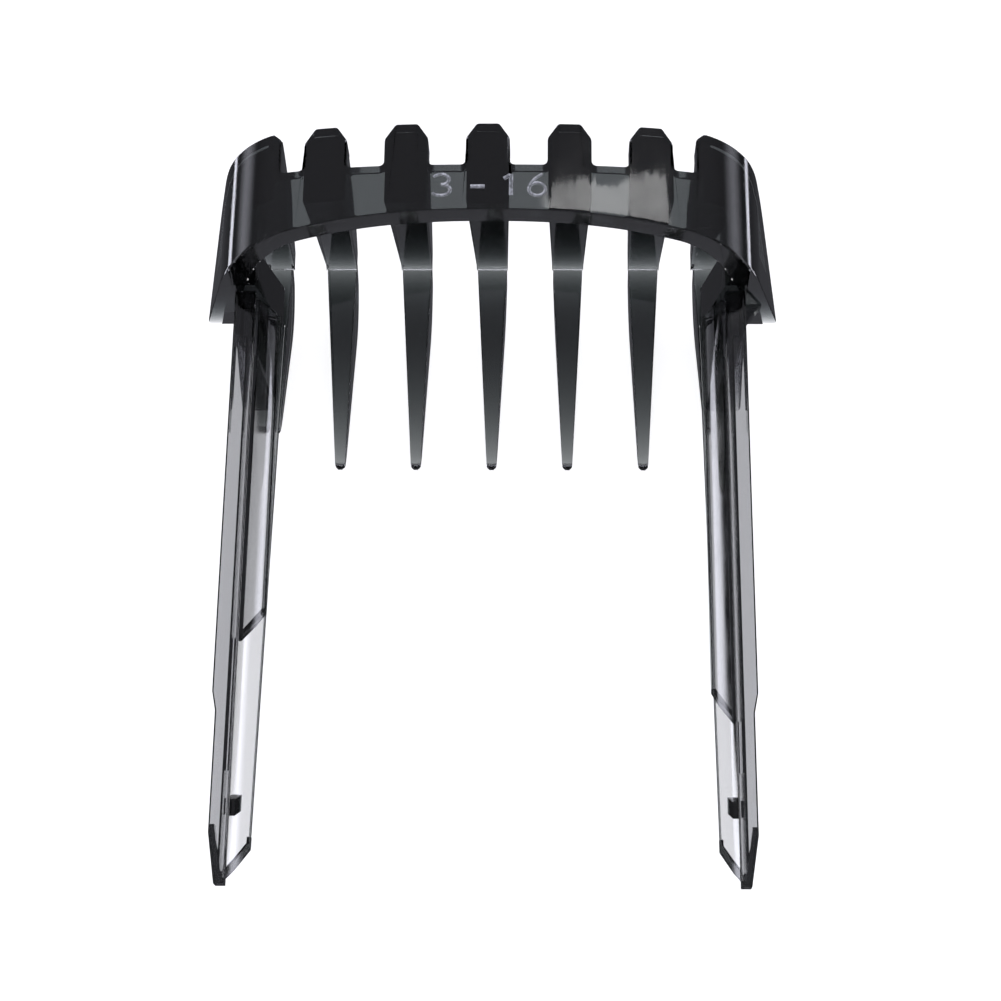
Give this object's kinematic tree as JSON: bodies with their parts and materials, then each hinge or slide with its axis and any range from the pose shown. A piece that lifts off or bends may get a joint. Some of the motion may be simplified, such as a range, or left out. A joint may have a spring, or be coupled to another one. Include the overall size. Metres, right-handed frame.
{
  "type": "hair clipper comb attachment",
  "caption": "Click-on guide comb for a hair clipper: a curved crown with tapered teeth and two long springy arms in smoky see-through plastic.",
  "frame": {"origin": "centre of the bounding box's bottom face, under the tooth backs", "axes": "+X across the teeth to the right arm, +Y from the arm tips to the tooth tops, +Z from the tooth backs up to the crown's front"},
  "size_m": [0.0568, 0.069, 0.0255],
  "materials": {
    "smoky_thick": "smoky see-through plastic, glossy, nearly black where it is thick",
    "smoky_medium": "smoky see-through plastic, glossy, dark grey",
    "smoky_thin": "smoky see-through plastic, glossy, light grey where it is thin"
  },
  "bodies": {
    "crown": {"crown_band": "smoky_thick", "left_cheek": "smoky_thick", "right_cheek": "smoky_thick", "tooth_fin_1": "smoky_thick", "tooth_fin_2": "smoky_thick", "tooth_fin_3": "smoky_thick", "tooth_fin_4": "smoky_thick", "tooth_fin_5": "smoky_thick", "tooth_fin_6": "smoky_thick", "tooth_fin_7": "smoky_thick", "tooth_prong_1": "smoky_medium", "tooth_prong_2": "smoky_medium", "tooth_prong_3": "smoky_medium", "tooth_prong_4": "smoky_medium", "tooth_prong_5": "smoky_medium", "tooth_prong_6": "smoky_medium", "tooth_prong_7": "smoky_medium", "left_arm_root": "smoky_thick", "right_arm_root": "smoky_thick", "right_gusset": "smoky_medium"},
    "left_arm": {"left_rail": "smoky_thin", "left_guide_rib": "smoky_thin", "left_side_plate": "smoky_thin", "left_code_pad": "smoky_thin", "left_ridge": "smoky_thin", "left_catch": "smoky_thick", "left_root_web": "smoky_medium"},
    "right_arm": {"right_rail": "smoky_thin", "right_guide_rib": "smoky_thin", "right_side_plate": "smoky_thin", "right_code_pad": "smoky_thin", "right_ridge": "smoky_thin", "right_catch": "smoky_thick", "right_root_web": "smoky_medium"}
  },
  "joints": [
    {"name": "left_arm_flex", "type": "hinge", "parent": "crown", "child": "left_arm", "pos_m": [-0.0232, 0.0225, 0.0115], "axis": [0, 0, -1], "range_deg": [-1.5, 3], "stiffness_Nm_per_rad": 0.25},
    {"name": "right_arm_flex", "type": "hinge", "parent": "crown", "child": "right_arm", "pos_m": [0.0232, 0.0225, 0.0115], "axis": [0, 0, 1], "range_deg": [-1.5, 3], "stiffness_Nm_per_rad": 0.25}
  ]
}
